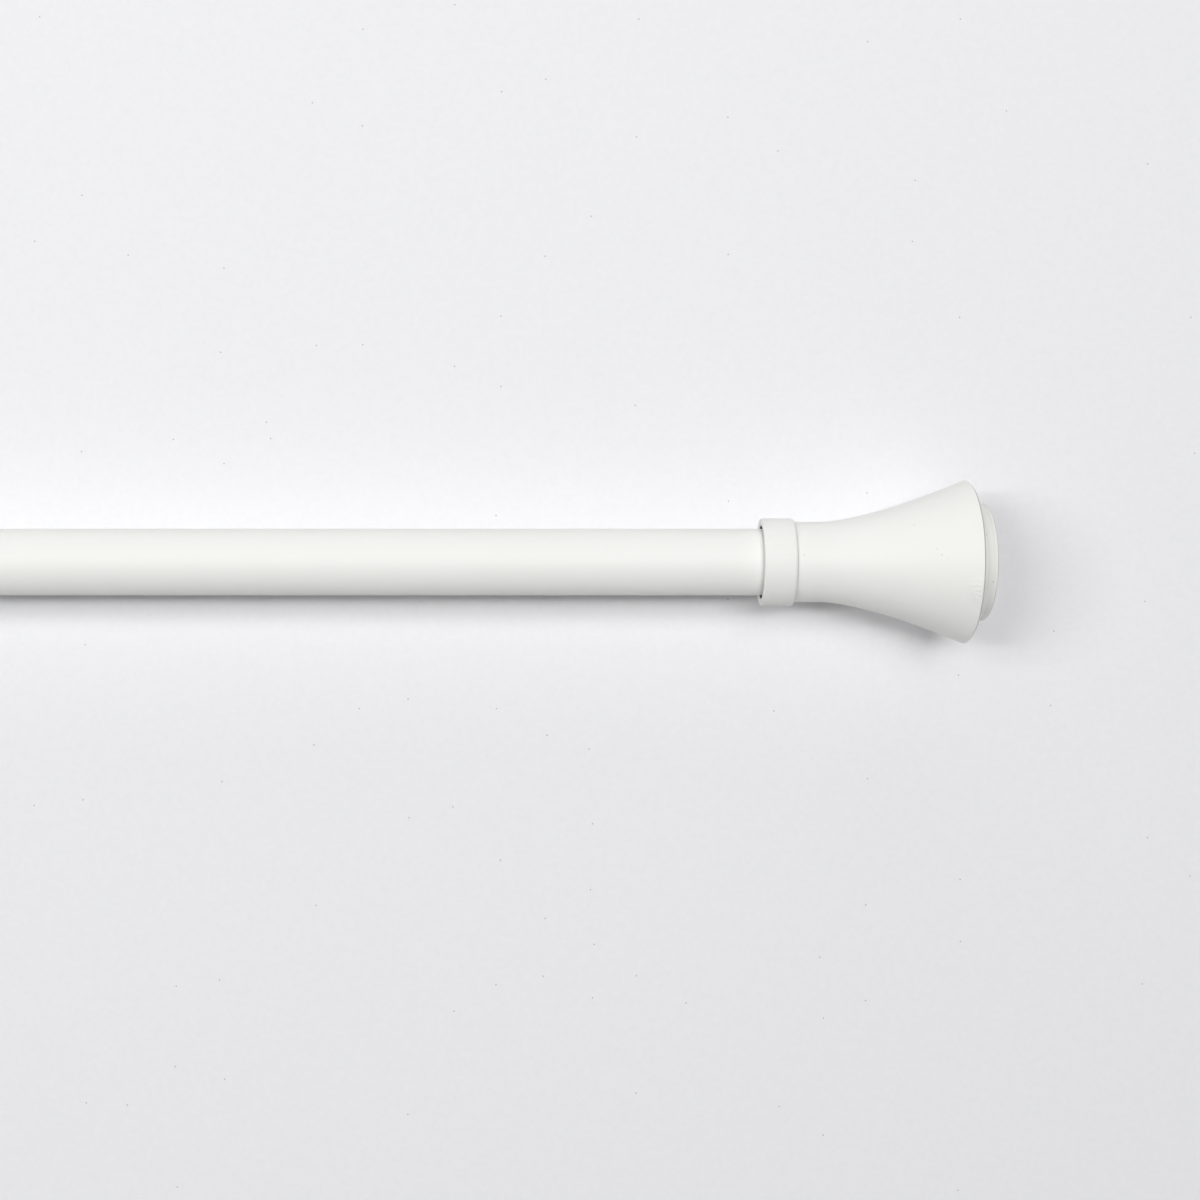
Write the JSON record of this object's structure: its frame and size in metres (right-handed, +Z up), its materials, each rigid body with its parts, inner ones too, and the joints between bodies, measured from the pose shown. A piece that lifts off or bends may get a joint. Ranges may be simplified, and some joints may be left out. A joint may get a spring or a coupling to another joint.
{
  "type": "extendable curtain rod",
  "caption": "Telescoping round curtain rod: a thinner tube slides and turns in a thicker one, and each end has a push-in flared trumpet finial with a neck collar and a raised end disc.",
  "frame": {"origin": "on the rod's axis, halfway along the outer tube", "axes": "+X along the rod, towards the finial of the outer tube; +Z up; the rod is round about X"},
  "size_m": [0.9014, 0.0466, 0.0466],
  "materials": {
    "white_coat": "satin white powder coat",
    "collar_coat": "satin white powder coat, slightly grainy",
    "white_plastic": "moulded, matt",
    "zinc_plate": "zinc plated"
  },
  "bodies": {
    "outer_rod": {"outer_tube": "white_coat", "guide_bush": "white_plastic"},
    "tail_glide": {"tail_plug": "white_plastic"},
    "inner_rod": {"inner_tube": "white_coat"},
    "outer_finial": {"outer_collar": "collar_coat", "outer_trumpet": "white_coat", "outer_end_disc": "white_coat", "outer_push_plug": "white_plastic", "outer_washer": "zinc_plate", "outer_tie_screw": "zinc_plate"},
    "inner_finial": {"inner_collar": "collar_coat", "inner_trumpet": "white_coat", "inner_end_disc": "white_coat", "inner_push_plug": "white_plastic", "inner_reducer": "white_plastic", "inner_washer": "zinc_plate", "inner_tie_screw": "zinc_plate"}
  },
  "joints": [
    {"name": "tube_extend", "type": "slide", "parent": "outer_rod", "child": "tail_glide", "axis": [-1, 0, 0], "range_m": [-0.1, 0.4]},
    {"name": "inner_tube_turn", "type": "hinge", "parent": "tail_glide", "child": "inner_rod", "pos_m": [0.1925, 0, 0], "axis": [1, 0, 0], "continuous": true},
    {"name": "outer_finial_pull", "type": "slide", "parent": "outer_rod", "child": "outer_finial", "axis": [1, 0, 0], "range_m": [0, 0.12]},
    {"name": "inner_finial_pull", "type": "slide", "parent": "inner_rod", "child": "inner_finial", "axis": [-1, 0, 0], "range_m": [0, 0.12]}
  ]
}
